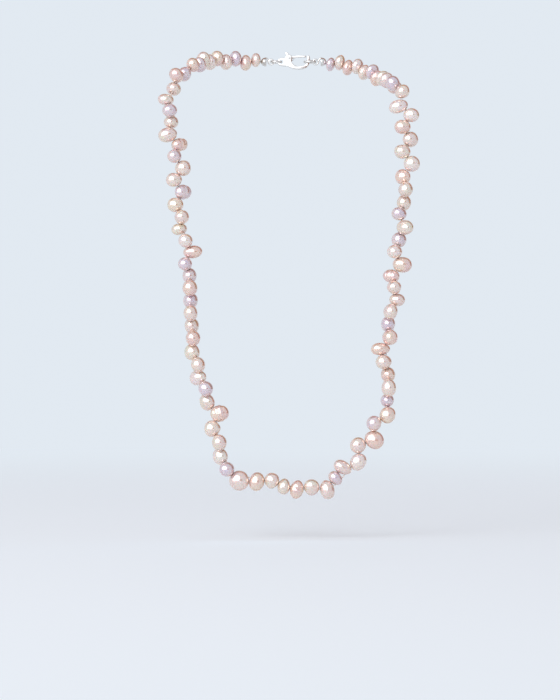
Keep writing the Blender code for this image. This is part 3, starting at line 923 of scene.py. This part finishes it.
SPRING_PATH = [(-2.6, 0.78), (-1.9, 0.42), (-1.0, 0.36), (-0.35, 0.55), (0.1, 0.95)]
SPRING_WIRE = 0.1
OUTLINE_STEPS = 8
# Places along a rod's dome and out from its axis, as shares of the dome's length and the rod's radius. The
# dome's length is a share of that radius, or of the rod's length where the rod is short.
DOME = ((0.0, 0.35), (0.12, 0.7), (0.45, 0.92), (1.0, 1.0))
DOME_LENGTH = 0.6
LONGEST_DOME = 0.25
CUP_RADIUS = 1.55
CUP_WALL = 0.22
CUP_HOLE = 0.42
# How far round from its back the cup reaches, and how much further its rolled rim does.
CUP_REACH = math.radians(104)
CUP_ROLL = math.radians(4)
CUP_STEPS = 14
CUP_SIDES = 40
LOOP_WIRE = 0.27
LOOP_STEPS = 48
# The loop's radius over half the bead tip's height.
LOOP_SHARE = 0.6
# The arm's bend: how far past the cup's middle it is, and its height as a share of the cup's radius.
ARM_BEND = 0.7
ARM_HEIGHT = 0.82
# The arm's wire as a share of the loop's.
ARM_SHARE = 0.95
RING_SLIT = math.radians(4.0)
RING_STEPS = 60
# The radius of a ring's wire over half the height of the CAD model's ring.
RING_WIRE_SHARE = 1.12


def middle_of(node):
    """The middle of a CAD node's box, in millimetres."""
    low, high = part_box(node)
    return np.array((low + high) / 2) / MM


def size_of(node):
    """The three sides of a CAD node's box, in millimetres."""
    low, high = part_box(node)
    return np.array(high - low) / MM


def clasp_places():
    """Where the clasp's parts lie, from the CAD nodes' boxes and the lever's joint."""
    pivot = next(joint for joint in frame["joints"] if joint["name"] == "lever_pivot")["pos_m"]
    jump, end = middle_of("jump_ring"), middle_of("end_ring")
    middle = np.array((0.0, jump[1], jump[2]))
    left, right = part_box("bead_tip_left"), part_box("bead_tip_right")
    return {
        "middle": middle,
        "pivot": np.array(pivot) / MM,
        "jump_ring": jump,
        "end_ring": end,
        "left_cup": np.array((left[0].x / MM + CUP_RADIUS, jump[1], jump[2])),
        "right_cup": np.array((right[1].x / MM - CUP_RADIUS, jump[1], jump[2])),
        "left_loop": left[1].x / MM,
        "right_loop": right[0].x / MM,
    }


def add_ring(name, made):
    """A wire ring, flat in XY, cut through where it opens."""
    size = size_of(name)
    wire = size[2] / 2 * RING_WIRE_SHARE
    radius = size[0] / 2 - size[2] / 2
    centre = middle_of(name)
    turns = np.linspace(RING_SLIT / 2, 2 * math.pi - RING_SLIT / 2, RING_STEPS)
    line = [centre + radius * np.array((math.cos(t), math.sin(t), 0.0)) for t in turns]
    build = bmesh.new()
    swept(build, line, wire, WIRE_SIDES)
    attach(new_piece("wire_" + name, new_mesh(name, build, ROUND_CREASE), made, [name]), name)


def plate(name, outline, half, rounding, steps):
    """A flat piece in the XZ plane with rounded edges."""
    build = bmesh.new()
    face = build.faces.new([build.verts.new((x * MM, -half * MM, z * MM)) for x, z in outline])
    grown = bmesh.ops.extrude_face_region(build, geom=[face])["geom"]
    far_side = [item for item in grown if isinstance(item, bmesh.types.BMVert)]
    bmesh.ops.translate(build, verts=far_side, vec=(0.0, 2 * half * MM, 0.0))
    bmesh.ops.recalc_face_normals(build, faces=build.faces)
    edges = [e for e in build.edges if len(e.link_faces) == 2 and e.calc_face_angle() > math.radians(60)]
    bmesh.ops.bevel(
        build,
        geom=edges,
        offset=rounding * MM,
        segments=steps,
        profile=0.5,
        affect="EDGES",
        clamp_overlap=True,
    )
    return new_mesh(name, build, PLATE_CREASE)


def rod(name, start, end, radius, sides):
    """A round rod with domed ends."""
    start, end = np.array(start), np.array(end)
    along = unit(end - start)
    reach = np.linalg.norm(end - start)
    dome = min(radius * DOME_LENGTH, reach * LONGEST_DOME)
    points = [start + along * dome * x for x, _ in DOME] + [end - along * dome * x for x, _ in DOME[::-1]]
    radii = [radius * r for _, r in DOME] + [radius * r for _, r in DOME[::-1]]
    build = bmesh.new()
    swept(build, points, np.array(radii), sides)
    return new_mesh(name, build, ROUND_CREASE)


def cutter(name, mesh, place):
    """An object that cuts or joins a piece: it is removed once the piece is made."""
    obj = bpy.data.objects.new(name, mesh)
    obj.location = Vector(place) * MM
    bpy.context.scene.collection.objects.link(obj)
    return obj


def made_solid(mesh, place, tools):
    """The mesh at a place after each tool has cut it or been joined to it."""
    obj = cutter("work", mesh, place)
    for tool, operation in tools:
        modifier = obj.modifiers.new(tool.name, "BOOLEAN")
        modifier.operation = operation
        modifier.solver = "EXACT"
        modifier.object = tool
    bpy.context.view_layer.update()
    graph = bpy.context.evaluated_depsgraph_get()
    result = bpy.data.meshes.new_from_object(obj.evaluated_get(graph))
    result.transform(obj.matrix_world)
    bpy.data.objects.remove(obj)
    for tool, _ in tools:
        bpy.data.objects.remove(tool)
    result.shade_smooth()
    result.set_sharp_from_angle(angle=math.radians(CUT_CREASE))
    return result


def pin(name, radius, half, sides=PIN_SIDES):
    """A domed rod along Y, centred on the origin."""
    return rod(name, (0.0, -half, 0.0), (0.0, half, 0.0), radius, sides)


def block(name, low, high):
    """A box between two corners."""
    build = bmesh.new()
    bmesh.ops.create_cube(build, size=1.0)
    for vert in build.verts:
        vert.co = [((a + b) / 2 + (b - a) * c) * MM for a, b, c in zip(low, high, vert.co)]
    return new_mesh(name, build, PLATE_CREASE)


def add_claw(places, made):
    """The hook with its eye, forked for the lever and drilled for the rivet."""
    outline = smooth_loop(CLAW_OUTLINE, OUTLINE_STEPS)
    mesh = plate("claw", outline, CLAW_HALF, CLAW_ROUND, CLAW_ROUND_STEPS)
    middle, pivot = places["middle"], places["pivot"]
    eye = cutter("eye", pin("eye", EYE_HOLE, 3 * CLAW_HALF), middle + np.array((EYE[0], 0.0, EYE[1])))
    slot = cutter("slot", block("slot", SLOT_LOW, SLOT_HIGH), middle)
    hole = cutter("hole", pin("hole", RIVET_RADIUS + RIVET_PLAY, 3 * CLAW_HALF), pivot)
    tools = [(eye, "DIFFERENCE"), (slot, "DIFFERENCE"), (hole, "DIFFERENCE")]
    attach(new_piece("claw", made_solid(mesh, middle, tools), made, ["clasp_body"]), "clasp_claw")


def add_lever(places, made):
    """The spring-loaded gate that closes the hook, with its thumb piece."""
    outline = smooth_loop(LEVER_OUTLINE, OUTLINE_STEPS)
    mesh = plate("lever", outline, LEVER_HALF, LEVER_ROUND, LEVER_ROUND_STEPS)
    hole = cutter("hole", pin("hole", RIVET_RADIUS + RIVET_PLAY, 3 * CLAW_HALF), places["pivot"])
    solid = made_solid(mesh, places["middle"], [(hole, "DIFFERENCE")])
    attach(new_piece("lever", solid, made, ["clasp_lever"]), "clasp_lever")


def add_rivet(places, made):
    """The pin that the lever turns on, a little proud of the claw's sides."""
    mesh = pin("rivet", RIVET_RADIUS, CLAW_HALF + RIVET_PROUD, RIVET_SIDES)
    mesh.transform(Matrix.Translation(Vector(places["pivot"]) * MM))
    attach(new_piece("rivet", mesh, made, ["clasp_rivet"]), "clasp_claw")


def add_spring(places, made):
    """The bent wire that presses the lever shut, from its root in the claw to its tip at the lever."""
    line = smooth_line([(x, 0.0, z) for x, z in SPRING_PATH], OUTLINE_STEPS) + places["middle"]
    build = bmesh.new()
    swept(build, line, SPRING_WIRE, SPRING_SIDES)
    mesh = new_mesh("spring", build, ROUND_CREASE)
    piece = new_piece("return_spring", mesh, made, ["clasp_spring"])
    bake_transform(piece)


def cup_mesh(name, sign):
    """A thin round cup, open towards the clasp, with a rolled rim and a hole at its back."""
    inner = CUP_RADIUS - CUP_WALL
    first_outer = math.asin(CUP_HOLE / CUP_RADIUS)
    first_inner = math.asin(CUP_HOLE / inner)
    outline = [(a, CUP_RADIUS) for a in np.linspace(first_outer, CUP_REACH, CUP_STEPS)]
    outline += [(CUP_REACH + CUP_ROLL, CUP_RADIUS - CUP_WALL / 2)]
    outline += [(a, inner) for a in np.linspace(CUP_REACH, first_inner, CUP_STEPS)]
    rings = []
    for turn in 2 * math.pi * np.arange(CUP_SIDES) / CUP_SIDES:
        spoke = np.array((0.0, math.cos(turn), math.sin(turn)))
        ring = [np.array((sign * math.cos(a) * r, 0.0, 0.0)) + spoke * math.sin(a) * r for a, r in outline]
        rings.append(ring)
    build = bmesh.new()
    loft(build, rings, True)
    return new_mesh(name, build, ROUND_CREASE)


def add_bead_tip(side, sign, places, made):
    """The cup for the end knot, its arm and the loop at the arm's end."""
    name = "bead_tip_" + side
    cup = places[side + "_cup"]
    loop_radius = size_of(name)[2] / 2 * LOOP_SHARE
    loop = np.array((places[side + "_loop"] + sign * (loop_radius + LOOP_WIRE), cup[1], cup[2]))
    turns = 2 * math.pi * np.arange(LOOP_STEPS) / LOOP_STEPS
    ring = [np.array((loop_radius * math.cos(t), 0.0, loop_radius * math.sin(t))) for t in turns]
    build = bmesh.new()
    swept(build, ring, LOOP_WIRE, WIRE_SIDES, True)
    hoop = cutter("hoop", new_mesh("hoop", build, ROUND_CREASE), loop)
    rim = cup + np.array((0.0, 0.0, CUP_RADIUS - CUP_WALL / 2))
    shoulder = cup + np.array((-sign * ARM_BEND, 0.0, CUP_RADIUS * ARM_HEIGHT))
    near = loop + np.array((sign * loop_radius, 0.0, LOOP_WIRE / 2))
    build = bmesh.new()
    line = smooth_line([rim, shoulder, near], OUTLINE_STEPS)
    swept(build, line, LOOP_WIRE * ARM_SHARE, WIRE_SIDES)
    arm = cutter("arm", new_mesh("arm", build, ROUND_CREASE), (0.0, 0.0, 0.0))
    solid = made_solid(cup_mesh("cup", sign), cup, [(arm, "UNION"), (hoop, "UNION")])
    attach(new_piece("tip_" + side, solid, made, [name]), "neck_strand")


def add_clasp(places):
    """The bead tips, rings and lobster clasp that close the strand."""
    silver = metal("silver", (0.80, 0.78, 0.75), (0.62, 0.59, 0.55), 0.08, 0.20, 2600.0)
    steel = metal("spring_steel", (0.58, 0.58, 0.60), (0.42, 0.42, 0.44), 0.28, 0.42, 5200.0)
    add_bead_tip("left", -1, places, silver)
    add_bead_tip("right", 1, places, silver)
    add_ring("jump_ring", silver)
    add_ring("end_ring", silver)
    add_claw(places, silver)
    add_lever(places, silver)
    add_rivet(places, silver)
    add_spring(places, steel)


# The studio, in metres

BACKGROUND = (0.76, 0.82, 0.885)
CAMERA_LENS = 120.0
CAMERA_SENSOR = 36.0
# The picture's height and its middle, as shares of the CAD box's height and width.
PICTURE_HEIGHT = 1.531
MIDDLE_ACROSS = 0.4663
MIDDLE_UP = 0.3268
FLOOR_DROP = 0.014
FLOOR_RADIUS = 2.4
FLOOR_SIDES = 96
FLOOR_COLOUR = (0.893, 0.955, 0.985)
# The distances from its middle between which the floor fades into the background.
FLOOR_FADE = (0.12, 0.75)
SOFTBOX_PLACE = (-0.60, -0.85, 0.62)
SOFTBOX_WIDTH = 0.60
SOFTBOX_HEIGHT = 0.50
SOFTBOX_POWER = 3.0


def add_floor(low):
    """A pale floor whose far part fades into the background."""
    build = bmesh.new()
    bmesh.ops.create_circle(build, cap_ends=True, segments=FLOOR_SIDES, radius=FLOOR_RADIUS)
    floor = bpy.data.objects.new("floor", new_mesh("floor", build, FLOOR_CREASE))
    floor.location = (0.0, 0.0, low.z - FLOOR_DROP)
    made, nodes = new_material("pale_floor")
    place = nodes.add("ShaderNodeTexCoord").outputs["Object"]
    distance = nodes.add("ShaderNodeVectorMath", {"Vector": place}, operation="LENGTH").outputs["Value"]
    fade = nodes.scaled(distance, *FLOOR_FADE)
    near = nodes.add("ShaderNodeBsdfDiffuse", {"Color": (*FLOOR_COLOUR, 1.0)})
    far = nodes.add("ShaderNodeEmission", {"Color": (*BACKGROUND, 1.0), "Strength": 1.0})
    both = nodes.add("ShaderNodeMixShader", {"Fac": fade})
    nodes.tree.links.new(near.outputs[0], both.inputs[1])
    nodes.tree.links.new(far.outputs[0], both.inputs[2])
    finish_material(nodes, both)
    floor.data.materials.append(made)
    bpy.context.scene.collection.objects.link(floor)


def patch(nodes, way, direction, low, high):
    """1 inside a round patch of the sky about a direction, 0 outside, from its edge's two cosines."""
    ahead = nodes.add("ShaderNodeVectorMath", {0: way, 1: direction}, operation="DOT_PRODUCT")
    return nodes.scaled(ahead.outputs["Value"], low, high)


# The studio as the pearls mirror it: a wide bright window to the front left, a small dim spot to the front
# right, and a dim gap high on the right behind, both warm. An edge gives the two cosines from a patch's
# middle direction between which it fades in.
STUDIO_LIGHT = (0.68, 0.72, 0.78)
WINDOW_LIGHT = (2.10, 2.24, 2.45)
GAP_LIGHT = (0.36, 0.15, 0.07)
WINDOW_WAY = (-0.52, -0.81, 0.28)
SPOT_WAY = (0.32, -0.945, -0.05)
GAP_WAY = (0.55, 0.0, 0.835)
WINDOW_EDGE = (0.72, 0.88)
SPOT_EDGE = (0.950, 0.975)
GAP_EDGE = (0.08, 0.48)
# The shares of +Y between which the gap fades in, and between which it fades out again.
GAP_START = (0.0, 0.2)
GAP_END = (0.6, 0.85)


def add_studio_air():
    """The light from all round, with a plain background wherever the camera sees it."""
    world = bpy.data.worlds.new("studio")
    bpy.context.scene.world = world
    world.use_nodes = True
    world.node_tree.nodes.clear()
    nodes = Nodes(world.node_tree)
    way = nodes.add("ShaderNodeTexCoord").outputs["Generated"]
    depth = nodes.add("ShaderNodeSeparateXYZ", {"Vector": way}).outputs["Y"]
    window = patch(nodes, way, WINDOW_WAY, *WINDOW_EDGE)
    colour = nodes.mix(window, STUDIO_LIGHT, WINDOW_LIGHT)
    past_start = nodes.scaled(depth, *GAP_START)
    before_end = nodes.scaled(depth, *GAP_END, 1.0, 0.0)
    behind = nodes.number("MULTIPLY", past_start, before_end)
    gap = nodes.number("MULTIPLY", behind, patch(nodes, way, GAP_WAY, *GAP_EDGE))
    dark = nodes.number("MAXIMUM", gap, patch(nodes, way, SPOT_WAY, *SPOT_EDGE))
    colour = nodes.mix(dark, colour, GAP_LIGHT)
    seen = nodes.add("ShaderNodeLightPath").outputs["Is Camera Ray"]
    colour = nodes.mix(seen, colour, BACKGROUND)
    back = nodes.add("ShaderNodeBackground", {"Color": colour, "Strength": 1.0})
    nodes.add("ShaderNodeOutputWorld", {"Surface": back.outputs[0]})


def add_light(name, place, target, width, height, power):
    """A soft rectangular light that faces the target and that the camera can't see."""
    light = bpy.data.lights.new(name, "AREA")
    light.shape = "RECTANGLE"
    light.size = width
    light.size_y = height
    light.energy = power
    obj = bpy.data.objects.new(name, light)
    obj.location = place
    obj.rotation_euler = (Vector(target) - Vector(place)).to_track_quat("-Z", "Y").to_euler()
    obj.visible_camera = False
    bpy.context.scene.collection.objects.link(obj)


def add_studio(box):
    """The floor, the light and a camera straight in front of the necklace."""
    low, high = box
    size = high - low
    middle = Vector((low.x + MIDDLE_ACROSS * size.x, 0.0, low.z + MIDDLE_UP * size.z))
    add_floor(low)
    add_studio_air()
    place = middle + Vector(SOFTBOX_PLACE)
    add_light("softbox", place, middle, SOFTBOX_WIDTH, SOFTBOX_HEIGHT, SOFTBOX_POWER)
    camera = bpy.data.cameras.new("camera")
    camera.lens = CAMERA_LENS
    camera.sensor_width = CAMERA_SENSOR
    distance = CAMERA_LENS * PICTURE_HEIGHT * size.z / CAMERA_SENSOR
    obj = bpy.data.objects.new("camera", camera)
    obj.location = middle - Vector((0.0, distance, 0.0))
    obj.rotation_euler = (math.radians(90.0), 0.0, 0.0)
    bpy.context.scene.collection.objects.link(obj)
    bpy.context.scene.camera = obj
    bpy.context.scene.view_settings.view_transform = "Standard"


def main():
    pearls, joints = strand()
    places = clasp_places()
    add_studio(CAD_BOX)
    add_pearls(pearls, {tone: nacre(tone) for tone in NACRE})
    add_thread(joints, silk(), places)
    add_clasp(places)


main()
